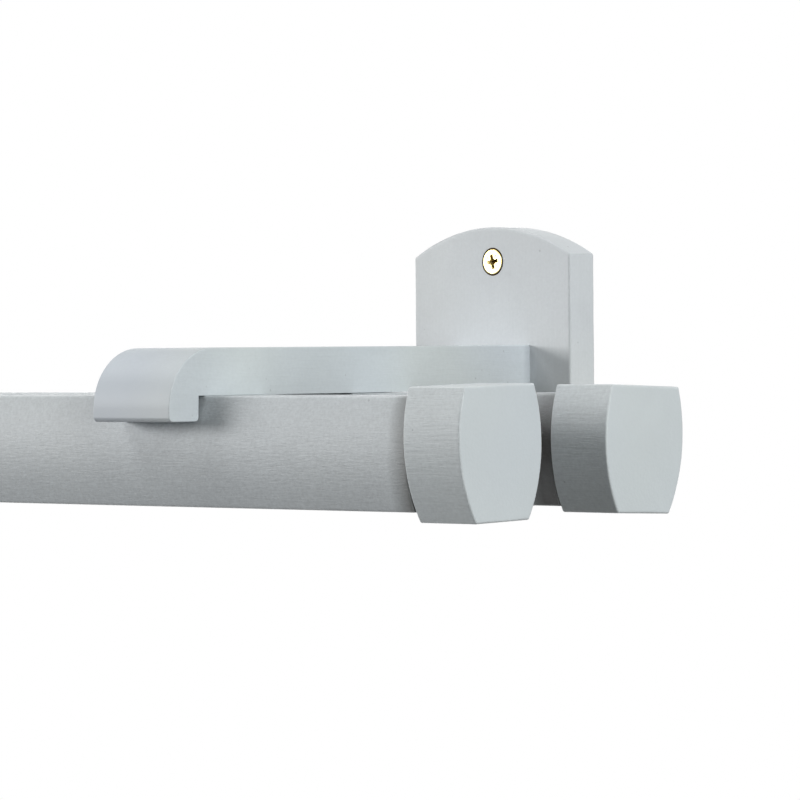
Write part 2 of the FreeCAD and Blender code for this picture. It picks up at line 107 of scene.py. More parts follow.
# The two finials in view aren't sanded alike: each one's height, and how far its middle lies above the peg's
# axis. Each is turned a little, too. The other two have the common height and stand upright.
FINIAL_SHAPES = {"finial_front_right": (40.3 * MM, 0.45 * MM), "finial_rear_right": (38.9 * MM, 0.2 * MM)}
FINIAL_TURNS = {"finial_front_right": math.radians(1.4), "finial_rear_right": math.radians(-2.1)}
ROD_WIDTH = 33.4 * MM
ROD_HEIGHT = 34.4 * MM
ROD_BULGE_HEIGHT = -0.3 * MM
# How far each rod's top lies below that of the node that it stands for.
ROD_DROPS = {"front_rod": 0.0, "rear_rod": 0.1 * MM}
ROD_EDGE = 1.0 * MM
ROD_END_EDGE = 0.6 * MM
PEG_DIAMETER = 10 * MM
PEG_IN_ROD = 25 * MM
PEG_IN_FINIAL = 14 * MM
TURNING_CLEARANCE = 0.05 * MM
BORE_SPARE = 1 * MM

# Screws by kind: the diameters of thread, shank, head and the hole through the wood, and the thread's pitch.
SCREWS = {
    "wall": {"thread": 4.5 * MM, "shank": 3.3 * MM, "head": 8.3 * MM, "hole": 5 * MM, "pitch": 2.2 * MM},
    "wood": {"thread": 4 * MM, "shank": 2.9 * MM, "head": 7.5 * MM, "hole": 4.4 * MM, "pitch": 2 * MM},
}
SCREW_RIM = 0.5 * MM
SCREW_TIP = 5 * MM
SCREW_SOFTNESS = 0.08 * MM
HEAD_SINK = 0.05 * MM
HEAD_RISE = 0.2 * MM
HEAD_EDGE = 0.22 * MM
# The cross recess: its wings, the cone in its middle, and a tick's groove between two wings, whose levels are
# the height and half width of its bottom and its top.
RECESS_SPAN = 4.8 * MM
RECESS_WIDTH = 1.2 * MM
RECESS_DEPTH = 2.2 * MM
RECESS_TAPER = 0.55
RECESS_SPARE = 0.5 * MM
CONE_RADIUS = 1.25 * MM
CONE_TIP_RADIUS = 0.5 * MM
CONE_DEPTH = 1.25 * RECESS_DEPTH
TICK_START = 1.5 * MM
TICK_END = 2.9 * MM
TICK_LEVELS = ((-0.12 * MM, 0.03 * MM), (0.05 * MM, 0.11 * MM))
# Painted shade, with some oil: the plating darkens with depth below the head's top, in the recess and down
# the rim. This is how deep it is at its darkest.
RECESS_SHADE_DEPTH = 0.5 * MM
WALL_SCREW_TURN = math.radians(10)
WOOD_SCREW_TURN = math.radians(35)

# A countersunk hole's lip turns from the cone to just short of the flat wood. The paint ends a little inside.
HOLE_LIP = 0.25 * MM
LIP_START = math.radians(135)
LIP_END = math.radians(98)
LIP_HALF_TURN = math.radians(22.5)
BARE_BELOW = 0.2 * HOLE_LIP

# How finely the meshes are drawn.
ARC_STEP = 0.9 * MM
LEAST_ARC_STEPS = 3
BARREL_STEP = 1 * MM
ARCH_STEP = 1.2 * MM
HOOK_STEP = 0.25 * MM
LIP_STEP = 0.05 * MM
HEAD_EDGE_STEP = HEAD_EDGE / 3
LINE_STEP = 3 * MM
EDGE_STEPS = 4
EDGE_VARIATION = 0.22
EDGE_VARIATION_SCALE = 90
EDGE_SUPPORT = 0.9
CORNER_STEPS = 5
CORNER_TURN = math.radians(40)
HOLE_SEGMENTS = 64
SCREW_SEGMENTS = 48
CONE_SEGMENTS = 24
SHARP_ANGLE = math.radians(32)
NORMAL_WEIGHT = 60
NEARLY_UPRIGHT = 0.9
MERGE = 0.0005 * MM


def new_piece(name, build):
    """A linked object from a finished bmesh."""
    mesh = bpy.data.meshes.new(name)
    build.to_mesh(mesh)
    build.free()
    piece = bpy.data.objects.new(name, mesh)
    bpy.context.scene.collection.objects.link(piece)
    return piece


def skin(build, rings, wear_and_highlight=None, close_start=True, close_end=True):
    """Adds a skin through rings of equally many points; the edge mask holds each ring's share of wear and
    painted highlight, point by point.
    """
    layer = build.verts.layers.float.get("edge_wear_and_highlight") or build.verts.layers.float.new("edge_wear_and_highlight")
    rows = [[build.verts.new(point) for point in ring] for ring in rings]
    if wear_and_highlight:
        for row, wear in zip(rows, wear_and_highlight):
            for vertex, amount in zip(row, wear):
                vertex[layer] = amount
    count = len(rows[0])
    for row, following in zip(rows, rows[1:]):
        for i in range(count):
            j = (i + 1) % count
            build.faces.new((row[i], row[j], following[j], following[i]))
    if close_start:
        build.faces.new(reversed(rows[0]))
    if close_end:
        build.faces.new(rows[-1])


def tidy(build):
    """Merges points that meet, drops faces without area and turns all faces outward."""
    bmesh.ops.remove_doubles(build, verts=build.verts, dist=MERGE)
    bmesh.ops.dissolve_degenerate(build, edges=build.edges, dist=MERGE)
    bmesh.ops.recalc_face_normals(build, faces=build.faces)


def apply_modifiers(piece):
    """Replaces a piece's mesh by what its modifiers make of it."""
    graph = bpy.context.evaluated_depsgraph_get()
    made = bpy.data.meshes.new_from_object(piece.evaluated_get(graph), preserve_all_data_layers=True,
                                           depsgraph=graph)
    old = piece.data
    piece.modifiers.clear()
    piece.data = made
    bpy.data.meshes.remove(old)


def drill(piece, tools):
    """Cuts each closed tool out of a piece."""
    for tool in tools:
        cut = piece.modifiers.new("cut", "BOOLEAN")
        cut.operation = "DIFFERENCE"
        cut.solver = "EXACT"
        cut.object = tool
    apply_modifiers(piece)
    for tool in tools:
        mesh = tool.data
        bpy.data.objects.remove(tool)
        bpy.data.meshes.remove(mesh)


def mark_bare_and_shaded(piece, mouths):
    """Marks a drilled piece's countersinks, which no paint reaches and which are darkened as painted shade;
    each mouth is its place and its width.
    """
    layer = piece.data.attributes.new("bare_wood_in_shade", "FLOAT", "POINT")
    inward = [(place.inverted(), width / 2 + HOLE_LIP) for place, width in mouths]
    for vertex, amount in zip(piece.data.vertices, layer.data):
        for to_local, reach in inward:
            local = to_local @ vertex.co
            if -reach < local.z < -BARE_BELOW and math.hypot(local.x, local.y) < reach:
                amount.value = 1.0


def smooth(piece):
    """Smooth shading that keeps hard corners, with the large faces left flat."""
    piece.data.shade_smooth()
    piece.data.set_sharp_from_angle(angle=SHARP_ANGLE)
    weighted = piece.modifiers.new("weighted", "WEIGHTED_NORMAL")
    weighted.keep_sharp = True
    weighted.weight = NORMAL_WEIGHT
    apply_modifiers(piece)


def aim(origin, direction):
    """The matrix that puts local +Z along a direction, with local X level where it can be."""
    axis = Vector(direction).normalized()
    level = Vector((0, 0, 1)) if abs(axis.z) < NEARLY_UPRIGHT else Vector((0, 1, 0))
    across = level.cross(axis).normalized()
    up = axis.cross(across)
    turned = Matrix((across, up, axis)).transposed().to_4x4()
    return Matrix.Translation(origin) @ turned


def circle(radius, height, segments, place):
    """Points of a circle round the local Z axis."""
    turns = [FULL_TURN * i / segments for i in range(segments)]
    return [place @ Vector((radius * math.cos(t), radius * math.sin(t), height)) for t in turns]


def turned_piece(name, profile, segments, place):
    """A closed turned piece from (radius, height) pairs that start and end on the axis."""
    build = bmesh.new()
    rings = [circle(radius, height, segments, place) for radius, height in profile]
    skin(build, rings, close_start=False, close_end=False)
    tidy(build)
    return new_piece(name, build)


def arc(centre, radius, start, end, step=ARC_STEP):
    """Points of an arc in a plane, from one angle to another, both ends included."""
    count = max(LEAST_ARC_STEPS, math.ceil(abs(end - start) * radius / step))
    angles = [start + (end - start) * i / count for i in range(count + 1)]
    return [Vector((centre[0] + radius * math.cos(a), centre[1] + radius * math.sin(a))) for a in angles]


def left_of(direction):
    """The direction turned a quarter turn to the left, which is inward on a counter-clockwise outline."""
    return Vector((-direction.y, direction.x))


def meeting(first, second):
    """How far two lines' crossing moves as both lines move inward by one, given their inward directions."""
    return (first + second) / (1 + first.dot(second))


def rounded_corner(before, corner, after, radius):
    """The points that round a corner, each with the arc's centre, the inset crossing's way and its wear."""
    into, out = (corner - before).normalized(), (after - corner).normalized()
    turn = -into.angle_signed(out, 0)
    centre = corner - into * radius * math.tan(turn / 2) + left_of(into) * radius
    spread = meeting(left_of(into), left_of(out))
    points = []
    for k in range(CORNER_STEPS + 1):
        share = k / CORNER_STEPS
        spoke = Matrix.Rotation(turn * share, 2) @ -left_of(into)
        points.append((centre + spoke * radius, (centre, spread, math.sin(HALF_TURN * share))))
    return points


def outline(*stretches, corner=0.0):
    """One closed counter-clockwise outline from points and arcs, its corners rounded where that is asked.

    Each point comes with None, or with what rounded_corner says of it. Long straight runs are divided.
    """
    given = []
    for stretch in stretches:
        given.extend(stretch if isinstance(stretch, list) else [Vector(stretch)])
    ahead = given[1:] + given[:1]
    given = [here for here, following in zip(given, ahead) if (following - here).length > MERGE]
    rim = []
    for i, here in enumerate(given):
        before, after = given[i - 1], given[(i + 1) % len(given)]
        if corner and (here - before).angle(after - here) > CORNER_TURN:
            rim.extend(rounded_corner(before, here, after, corner))
        else:
            rim.append((here, None))
    points = []
    for (here, anchor), (following, _) in zip(rim, rim[1:] + rim[:1]):
        count = max(1, round((following - here).length / LINE_STEP))
        points.append((here, anchor))
        points.extend((here.lerp(following, i / count), None) for i in range(1, count))
    return points


def inset(rim, distances):
    """An outline moved inward, each point by its own distance; rounded corners shrink and then close."""
    moved = []
    for i, ((here, anchor), distance) in enumerate(zip(rim, distances)):
        if anchor:
            centre, spread, _ = anchor
            radius = (here - centre).length
            closed = centre + spread * (distance - radius)
            moved.append(here.lerp(centre, distance / radius) if distance < radius else closed)
            continue
        before = (here - rim[i - 1][0]).normalized()
        after = (rim[(i + 1) % len(rim)][0] - here).normalized()
        moved.append(here + meeting(left_of(before), left_of(after)) * distance)
    return moved


def soft_radius(point, radius):
    """An edge rounding that varies a little along the edge, as sanding by hand leaves it."""
    return radius * (1 + EDGE_VARIATION * noise.noise(point * EDGE_VARIATION_SCALE))


def prism(name, rim, depth, edge, place, share_at=None):
    """An outline pushed along local Z, with both end rims rounded; share_at gives each point's share of that.

    A narrow flat band beside each rounding keeps the large faces' shading flat.
    """
    support = EDGE_SUPPORT * edge
    wall_level = edge * (1 + EDGE_VARIATION) + support
    turns = [QUARTER_TURN * k / EDGE_STEPS for k in range(EDGE_STEPS + 1)]
    corner_wear = [anchor[2] if anchor else 0.0 for _, anchor in rim]
    rings, wear_and_highlight = [], []
    for level, outward in ((0.0, -1), (depth, 1)):
        radii = []
        for point, anchor in rim:
            share = share_at(point) if share_at else 1.0
            at = anchor[0] if anchor else point
            radii.append(share * soft_radius(place @ Vector((*at, level)), edge))
        half = [([Vector((*point, level - outward * wall_level)) for point, _ in rim], corner_wear)]
        for turn in turns:
            moved = inset(rim, [radius * (1 - math.cos(turn)) for radius in radii])
            ring = [Vector((*p, level - outward * r * (1 - math.sin(turn)))) for p, r in zip(moved, radii)]
            edge_wear = math.sin(2 * turn)
            half.append((ring, [max(edge_wear, wear * math.cos(turn)) for wear in corner_wear]))
        flat = inset(rim, [radius + support for radius in radii])
        half.append(([Vector((*point, level)) for point in flat], [0.0] * len(rim)))
        if outward < 0:
            half.reverse()
        rings.extend([place @ point for point in ring] for ring, _ in half)
        wear_and_highlight.extend(wear for _, wear in half)
    build = bmesh.new()
    skin(build, rings, wear_and_highlight)
    tidy(build)
    return new_piece(name, build)


def hole_tool(place, hole, mouth, depth):
    """The tool for a countersunk hole: its mouth is the local plane Z = 0, and it cuts along -Z."""
    tangent = HOLE_LIP * math.tan(LIP_HALF_TURN)
    centre = (mouth / 2 + tangent, -HOLE_LIP)
    rim = arc(centre, HOLE_LIP, LIP_START, LIP_END, step=LIP_STEP)
    neck = hole / 2
    cone_end = -(mouth / 2 - neck)
    profile = [(0, -depth - BORE_SPARE), (neck, -depth - BORE_SPARE), (neck, cone_end)]
    profile += [(point.x, point.y) for point in rim]
    profile += [(rim[-1].x, BORE_SPARE), (0, BORE_SPARE)]
    return turned_piece("tool", profile, HOLE_SEGMENTS, place)


def bore_tool(place, diameter, depth):
    """The tool for a plain bore that starts just outside the local plane Z = 0 and cuts along -Z."""
    radius = diameter / 2
    profile = [(0, -depth), (radius, -depth), (radius, BORE_SPARE), (0, BORE_SPARE)]
    return turned_piece("tool", profile, HOLE_SEGMENTS, place)


def countersink(kind):
    """The width of a countersink's mouth for a kind of screw."""
    return SCREWS[kind]["head"] + 2 * (HEAD_SINK + SCREW_RIM + SEAT_CLEARANCE)


def axis_of(node):
    """The middle of a node's box."""
    low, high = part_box(node)
    return (low + high) / 2


def barrel(width, height, bulge_height, corner):
    """The outline of a bar that is flat above and below, with sides that bulge most at one height."""
    top = height / 2
    reach = width / 2 - BARREL_SIDE_RADIUS
    up = math.asin((top - bulge_height) / BARREL_SIDE_RADIUS)
    down = math.asin((top + bulge_height) / BARREL_SIDE_RADIUS)
    return outline(
        arc((reach, bulge_height), BARREL_SIDE_RADIUS, -down, up, BARREL_STEP),
        arc((-reach, bulge_height), BARREL_SIDE_RADIUS, HALF_TURN - up, HALF_TURN + down, BARREL_STEP),
        corner=corner,
    )


def make_rod(node):
    """A barrel-sided rod with soft edges, a bore for a peg in each end and a pilot hole under each arm."""
    low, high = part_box(node)
    middle = axis_of(node)
    points = barrel(ROD_WIDTH, ROD_HEIGHT, ROD_BULGE_HEIGHT, ROD_EDGE)
    level = high.z - ROD_DROPS[node] - ROD_HEIGHT / 2
    # the outline lies in the plane of Y and Z, and is pushed along X
    place = Matrix(((0, 0, 1, low.x), (1, 0, 0, middle.y), (0, 1, 0, level), (0, 0, 0, 1)))
    piece = prism(f"painted_{node}", points, high.x - low.x, ROD_END_EDGE, place)
    tools = []
    for end, direction in ((high.x, 1), (low.x, -1)):
        bore_place = aim(Vector((end, middle.y, middle.z)), (direction, 0, 0))
        tools.append(bore_tool(bore_place, PEG_DIAMETER + 2 * TURNING_CLEARANCE, PEG_IN_ROD + BORE_SPARE))
    row = node.split("_")[0]
    for side in ("right", "left"):
        screw_low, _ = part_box(f"rod_screw_{row}_{side}")
        x = axis_of(f"rod_screw_{row}_{side}").x
        screw_place = aim(Vector((x, middle.y, high.z)), (0, 0, 1))
        tools.append(bore_tool(screw_place, SCREWS["wood"]["thread"] + 2 * SEAT_CLEARANCE,
                               high.z - screw_low.z + BORE_SPARE))
    drill(piece, tools)
    return piece


def make_arm(node, side_name):
    """A bracket arm: a board over both rods, with a quarter-round nose that hooks down in front."""
    low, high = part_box(node)
    front, rear, foot, top = low.y, high.y, low.z, high.z
    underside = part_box("front_rod")[1].z + SEAT_CLEARANCE
    inner = front + NOSE_THICKNESS
    points = outline(
        (rear, underside),
        (rear, top),
        arc((front + NOSE_RADIUS, top - NOSE_RADIUS), NOSE_RADIUS, QUARTER_TURN, HALF_TURN),
        arc((front + HOOK_EDGE, foot + HOOK_EDGE), HOOK_EDGE, HALF_TURN, 3 * QUARTER_TURN, HOOK_STEP),
        arc((inner - HOOK_EDGE, foot + HOOK_EDGE), HOOK_EDGE, -QUARTER_TURN, 0, HOOK_STEP),
        (inner, underside),
    )
    # the outline lies in the plane of Y and Z, and is pushed along X
    place = Matrix(((0, 0, 1, low.x), (1, 0, 0, 0), (0, 1, 0, 0), (0, 0, 0, 1)))

    def share_at(point):
        """None at the rear end, which is cut square, and less on the rods than elsewhere."""
        if rear - point.x < MERGE:
            return 0.0
        return UNDERSIDE_SHARE if abs(point.y - underside) < MERGE else 1.0

    piece = prism(f"painted_{node}", points, high.x - low.x, ARM_EDGE, place, share_at)
    tools, mouths = [], []
    for row in ("front", "rear"):
        middle = axis_of(f"rod_screw_{row}_{side_name}")
        mouth_place = aim(Vector((middle.x, middle.y, top)), (0, 0, 1))
        tools.append(hole_tool(mouth_place, SCREWS["wood"]["hole"], countersink("wood"), top - underside))
        mouths.append((mouth_place, countersink("wood")))
    for which in ("outer", "inner"):
        screw = f"arm_screw_{which}_{side_name}"
        middle = axis_of(screw)
        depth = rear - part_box(screw)[0].y + BORE_SPARE
        pilot_place = aim(Vector((middle.x, rear, middle.z)), (0, 1, 0))
        tools.append(bore_tool(pilot_place, SCREWS["wood"]["thread"] + 2 * SEAT_CLEARANCE, depth))
    drill(piece, tools)
    mark_bare_and_shaded(piece, mouths)
    return piece


def make_plate(node, side_name):
    """A wall plate with an arch at both ends and four countersunk holes."""
    low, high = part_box(node)
    half = (high.x - low.x) / 2
    rise = ARCH_RISE
    radius = (half ** 2 + rise ** 2) / (2 * rise)
    spread = math.asin(half / radius)
    points = outline(
        arc((0, high.z - radius), radius, QUARTER_TURN - spread, QUARTER_TURN + spread, ARCH_STEP),
        arc((0, low.z + radius), radius, 3 * QUARTER_TURN - spread, 3 * QUARTER_TURN + spread, ARCH_STEP),
        corner=PLATE_EDGE,
    )
    # the outline lies in the plane of X and Z, and is pushed along -Y from the wall
    place = Matrix(((1, 0, 0, low.x + half), (0, 0, -1, high.y), (0, 1, 0, 0), (0, 0, 0, 1)))
    depth = high.y - low.y
    piece = prism(f"painted_{node}", points, depth, PLATE_EDGE, place)
    tools, mouths = [], []
    for level in ("upper", "lower"):
        middle = axis_of(f"wall_screw_{level}_{side_name}")
        mouth_place = aim(Vector((middle.x, low.y, middle.z)), (0, -1, 0))
        tools.append(hole_tool(mouth_place, SCREWS["wall"]["hole"], countersink("wall"), depth))
        mouths.append((mouth_place, countersink("wall")))
    for which in ("outer", "inner"):
        middle = axis_of(f"arm_screw_{which}_{side_name}")
        mouth_place = aim(Vector((middle.x, high.y, middle.z)), (0, 1, 0))
        tools.append(hole_tool(mouth_place, SCREWS["wood"]["hole"], countersink("wood"), depth))
        mouths.append((mouth_place, countersink("wood")))
    drill(piece, tools)
    mark_bare_and_shaded(piece, mouths)
    return piece


def make_finial(node, side):
    """A barrel-sided finial, turned about its peg's axis, with the peg's bore; side is its way along X."""
    low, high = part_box(node)
    joint = next(joint for joint in frame["joints"] if joint["child"] == node)
    axis = Vector(joint["pos_m"])
    height, lift = FINIAL_SHAPES.get(node, (FINIAL_HEIGHT, 0.0))
    points = barrel(FINIAL_WIDTH, height, FINIAL_BULGE_HEIGHT - lift, FINIAL_EDGE)
    outward = Matrix(((0, 0, side, 0), (side, 0, 0, 0), (0, 1, 0, 0), (0, 0, 0, 1)))
    turn = Matrix.Rotation(FINIAL_TURNS.get(node, 0.0), 4, "X")
    inner_face = low.x if side > 0 else high.x
    seat = Vector((inner_face, axis.y, axis.z))
    place = Matrix.Translation(seat) @ turn @ Matrix.Translation((0, 0, lift)) @ outward
    piece = prism(f"painted_{node}", points, high.x - low.x, FINIAL_EDGE, place)
    bore_place = aim(seat, (-side, 0, 0))
    drill(piece, [bore_tool(bore_place, PEG_DIAMETER, PEG_IN_FINIAL + BORE_SPARE)])
    return piece


def block_tool(rings):
    """A closed tool through rings of four corners."""
    build = bmesh.new()
    skin(build, rings)
    tidy(build)
    return new_piece("tool", build)


def recess_tools():
    """Tools for a cross recess with a cone in its middle and four short ticks between its wings."""
    tools = []
    for turn in (0.0, QUARTER_TURN):
        spin = Matrix.Rotation(turn, 4, "Z")
        rings = []
        for height, share in ((-RECESS_DEPTH, RECESS_TAPER), (0.0, 1.0), (RECESS_SPARE, 1.0)):
            along = RECESS_SPAN / 2 * share
            across = RECESS_WIDTH / 2 * share
            corners = ((-along, -across), (along, -across), (along, across), (-along, across))
            rings.append([spin @ Vector((x, y, height)) for x, y in corners])
        tools.append(block_tool(rings))
    cone = [(0, -CONE_DEPTH), (CONE_TIP_RADIUS, -RECESS_DEPTH), (CONE_RADIUS, 0), (CONE_RADIUS, RECESS_SPARE),
            (0, RECESS_SPARE)]
    tools.append(turned_piece("tool", cone, CONE_SEGMENTS, Matrix.Identity(4)))
    for number in range(4):
        spin = Matrix.Rotation(QUARTER_TURN * (number + 0.5), 4, "Z")
        rings = []
        for height, width in TICK_LEVELS:
            corners = ((TICK_START, -width), (TICK_END, -width), (TICK_END, width), (TICK_START, width))
            rings.append([spin @ Vector((x, y, height)) for x, y in corners])
        tools.append(block_tool(rings))
    return tools


# Places of one thread turn's rows, as shares of the pitch, and their height as a share of the thread's depth.
THREAD_ROWS = ((0.0, 0.0), (0.30, 0.02), (0.56, 0.10), (0.70, 1.0), (0.76, 1.0), (0.88, 0.10))
THREAD_SPARE_TURNS = 3
# Toward the tip the thread's ridge keeps its full height longer than the core does, by this factor.
TIP_RIDGE_GAIN = 1.6


def thread_rows(sizes, top, tip):
    """Heights and thread heights of all rows, from above the thread's top to below the tip."""
    pitch = sizes["pitch"]
    turns = math.ceil((top - tip) / pitch) + THREAD_SPARE_TURNS
    rows = []
    for turn in range(turns):
        for share, height in THREAD_ROWS:
            rows.append((top + pitch - pitch * (turn + share), height))
    return rows


def add_thread(build, sizes, top, tip):
    """The threaded stretch of a screw: a helical skin that fades in at the top and runs to a point."""
    pitch = sizes["pitch"]
    core = sizes["shank"] / 2
    ridge = sizes["thread"] / 2 - core
    rows = thread_rows(sizes, top, tip)
    columns = []
    for i in range(SCREW_SEGMENTS):
        turn = FULL_TURN * i / SCREW_SEGMENTS
        column = []
        for level, height in rows:
            z = min(top, max(tip, level + pitch * i / SCREW_SEGMENTS))
            taper = min(1.0, (z - tip) / SCREW_TIP)
            fade = min(1.0, (top - z) / pitch)
            radius = core * taper + ridge * height * fade * min(1.0, TIP_RIDGE_GAIN * taper)
            column.append(build.verts.new((radius * math.cos(turn), radius * math.sin(turn), z)))
        columns.append(column)
    shift = len(THREAD_ROWS)
    for i in range(SCREW_SEGMENTS):
        last = i == SCREW_SEGMENTS - 1
        here, following = columns[i], columns[0 if last else i + 1]
        lag = shift if last else 0
        for j in range(lag, len(rows) - 1):
            corners = (here[j], here[j + 1], following[j + 1 - lag], following[j - lag])
            build.faces.new(corners)


def make_screw_mesh(kind, length, smooth_length):
    """One screw along its own -Z, its head's top at Z = 0: head, shank, thread, point and recess."""
    sizes = SCREWS[kind]
    head, shank = sizes["head"] / 2, sizes["shank"] / 2
    cone_end = -(SCREW_RIM + head - shank)
    soft = SCREW_SOFTNESS
    edge = arc((head - HEAD_EDGE, -HEAD_EDGE), HEAD_EDGE, QUARTER_TURN, 0, HEAD_EDGE_STEP)
    profile = [(0, 0), (head / 2, 0), (head - 2 * HEAD_EDGE, 0)] + [(point.x, point.y) for point in edge]
    profile += [(head, -SCREW_RIM), (head - soft / 2, -SCREW_RIM - soft)]
    profile += [(shank + soft, cone_end + soft / 2), (shank, cone_end - soft), (shank, -smooth_length)]
    build = bmesh.new()
    rings = [circle(radius, height, SCREW_SEGMENTS, Matrix.Identity(4)) for radius, height in profile]
    skin(build, rings, close_start=False, close_end=False)
    add_thread(build, sizes, -smooth_length, -length)
    tidy(build)
    piece = new_piece(f"{kind}_screw_pattern", build)
    drill(piece, recess_tools())
    smooth(piece)
    mesh = piece.data
    bpy.data.objects.remove(piece)
    # painted shade with some oil: darker with depth below the head's top, in the recess and on the rim
    recess_shade = mesh.attributes.new("recess_shade", "FLOAT", "POINT")
    for vertex, amount in zip(mesh.vertices, recess_shade.data):
        if vertex.co.z > cone_end:
            amount.value = min(1.0, -vertex.co.z / RECESS_SHADE_DEPTH)
    return mesh


class Graph:
    """The nodes of a material or of the world, added and linked in short calls."""

    def __init__(self, owner):
        owner.use_nodes = True
        self.owner = owner
        self.tree = owner.node_tree
        self.shader = self.tree.nodes.get("Principled BSDF")

    def feed(self, socket, given):
        """Links another node's output to a socket, or sets the socket to a value."""
        if isinstance(given, bpy.types.NodeSocket):
            self.tree.links.new(given, socket)
        else:
            socket.default_value = given

    def node(self, kind, inputs=None, **settings):
        """A node with its settings, and its inputs given as values or as outputs of other nodes."""
        made = self.tree.nodes.new(kind)
        for name, setting in settings.items():
            setattr(made, name, setting)
        for name, given in (inputs or {}).items():
            self.feed(made.inputs[name], given)
        return made

    def math(self, operation, first, second=0.0):
        """A sum, product or the like of two values."""
        return self.node("ShaderNodeMath", {0: first, 1: second}, operation=operation).outputs["Value"]

    def remap(self, given, low, high, to_low, to_high):
        """A value brought from one range to another, clamped."""
        inputs = {"Value": given, "From Min": low, "From Max": high, "To Min": to_low, "To Max": to_high}
        return self.node("ShaderNodeMapRange", inputs, clamp=True).outputs["Result"]

    def noise(self, place, scale, detail=2.0, roughness=0.55, distortion=0.0):
        """Noise over a place that is stretched by three scales, per metre."""
        stretched = self.node("ShaderNodeMapping", {"Vector": place, "Scale": scale})
        inputs = {"Vector": stretched.outputs["Vector"], "Scale": 1.0, "Detail": detail,
                  "Roughness": roughness, "Distortion": distortion}
        return self.node("ShaderNodeTexNoise", inputs).outputs["Fac"]

    def round_zero(self, place, scale, **settings):
        """Noise whose middle value is zero."""
        return self.math("SUBTRACT", self.noise(place, scale, **settings), NOISE_MIDDLE)

    def ramp(self, given, stops):
        """Colours by a value: pairs of a place and a colour."""
        made = self.node("ShaderNodeValToRGB", {"Fac": given})
        stretch = made.color_ramp.elements
        while len(stretch) < len(stops):
            stretch.new(0.5)
        for element, (place, colour) in zip(stretch, stops):
            element.position = place
            element.color = (*colour, 1.0)
        return made.outputs["Color"]

    def mix(self, share, first, second, blend="MIX"):
        """Two colours mixed by a share of the second."""
        # a mix node's colour sockets have these numbers
        inputs = {0: share, 6: first, 7: second}
        return self.node("ShaderNodeMix", inputs, data_type="RGBA", blend_type=blend).outputs[2]

    def set(self, **inputs):
        """Sets or links the shader's own sockets; underscores stand for spaces."""
        for name, given in inputs.items():
            self.feed(self.shader.inputs[name.replace("_", " ")], given)


# A noise's middle value, and the two between which most of its values lie.
NOISE_MIDDLE = 0.5
NOISE_LOW = 0.3
NOISE_HIGH = 0.7

# The paint on each kind of piece: its colour; how strongly grain, speckle and bump show; how strongly edges
# are lightened, part wear and part painted highlight, or darkened where that is below zero; how far its tint
# drifts;
# and the grain's scales per metre, along and across, and its axis.
PAINTS = {
    "rods": {"colour": (0.552, 0.587, 0.602), "grain": 0.08, "speckle": 0.38, "bump": 0.09 * MM,
             "edge_tone": 0.25, "drift": 0.2, "along": 210, "across": 1500, "axis": 0},
    "arms": {"colour": (0.564, 0.607, 0.622), "grain": 0.035, "speckle": 0.10, "bump": 0.045 * MM,
             "edge_tone": 0.35, "drift": 1.0, "along": 85, "across": 1500, "axis": 1},
    "plates": {"colour": (0.668, 0.697, 0.705), "grain": 0.03, "speckle": 0.10, "bump": 0.045 * MM,
               "edge_tone": -0.35, "drift": 0.35, "along": 60, "across": 1300, "axis": 2},
    "finials": {"colour": (0.605, 0.648, 0.662), "grain": 0.085, "speckle": 0.28, "bump": 0.09 * MM,
                "edge_tone": 0.8, "drift": 0.3, "along": 95, "across": 1300, "axis": 0},
}
# Noises along the grain: shares of its scales along and across, detail and roughness.
FINE_GRAIN = (1.0, 1.0, 3.0, 0.6)
BROAD_GRAIN = (0.16, 0.14, 3.0, 0.5)
SHORT_GRAIN = (2.2, 1.5, 2.0, 0.5)
FINE_WEIGHT = 2.0
BROAD_WEIGHT = 0.9
DASH_WEIGHT = 0.35
DASH_START = 0.10
DASH_FULL = 0.17
# Noises without a direction: scales per metre.
MOTTLE_SCALE = 38
MOTTLE_DISTORTION = 0.4
DRIFT_SCALE = 13
FILM_SCALE = 900
MOTTLE_WEIGHT = 0.14
# The tint's two ends, as shares added to each channel, and the noise's values at which each is reached.
GREENER_SHARES = (0.035, 0.030, 0.005)
VIOLET_SHARES = (-0.045, -0.040, 0.010)
VIOLET_BELOW = 0.36
GREENER_ABOVE = 0.62
# A face across the grain: where its normal starts to count and where it counts in full, its share of streaks,
# and its brightness.
END_FACE_START = 0.55
END_FACE_FULL = 0.95
END_FACE_STREAKS = 0.15
END_GAIN_START = 0.9
END_GAIN_FULL = 0.99
END_FACE_GAIN = 1.04
# Painted shade darkens the paint beside the finials, where their contact shadow falls on the rods: from how
# far and up to how far from the rod's end, its share low on the side and high on it, and its colour. The
# normal's height tells low from high.
FINIAL_SHADE = {
    "front_rod": (8 * MM, 0.0, 0.84, 0.84, (0.10, 0.10, 0.095, 1.0)),
    "rear_rod": (16 * MM, 6 * MM, 0.92, 0.5, (0.03, 0.027, 0.024, 1.0)),
}
FINIAL_SHADE_UNEVENNESS = 0.8
FINIAL_SHADE_LOW_NORMAL = 0.1
FINIAL_SHADE_HIGH_NORMAL = 0.36
# Specks: cells per metre, a spot's radii in cells, and the share of cells without a pit or a light speck.
SPECK_SCALE = 230
SPOT_FULL = 0.05
SPOT_END = 0.11
WITHOUT_PIT = 0.90
WITHOUT_LIGHT_SPECK = 0.93
PIT_WEIGHT = 0.45
LIGHT_SPECK_WEIGHT = 0.5
PIT_PAINT = (0.32, 0.34, 0.35, 1.0)
LIGHT_SPECK_PAINT = (0.76, 0.79, 0.79, 1.0)
# Edges lightened by wear and by painted highlight: the mottling's range, the lightening that it gives there,
# and the colours.
WEAR_MOTTLE = 0.15
LEAST_WEAR = 0.35
MOST_WEAR = 0.75
RUBBED_AND_HIGHLIT_PAINT = (0.72, 0.755, 0.765, 1.0)
DARKENED_PAINT = (0.34, 0.35, 0.36, 1.0)
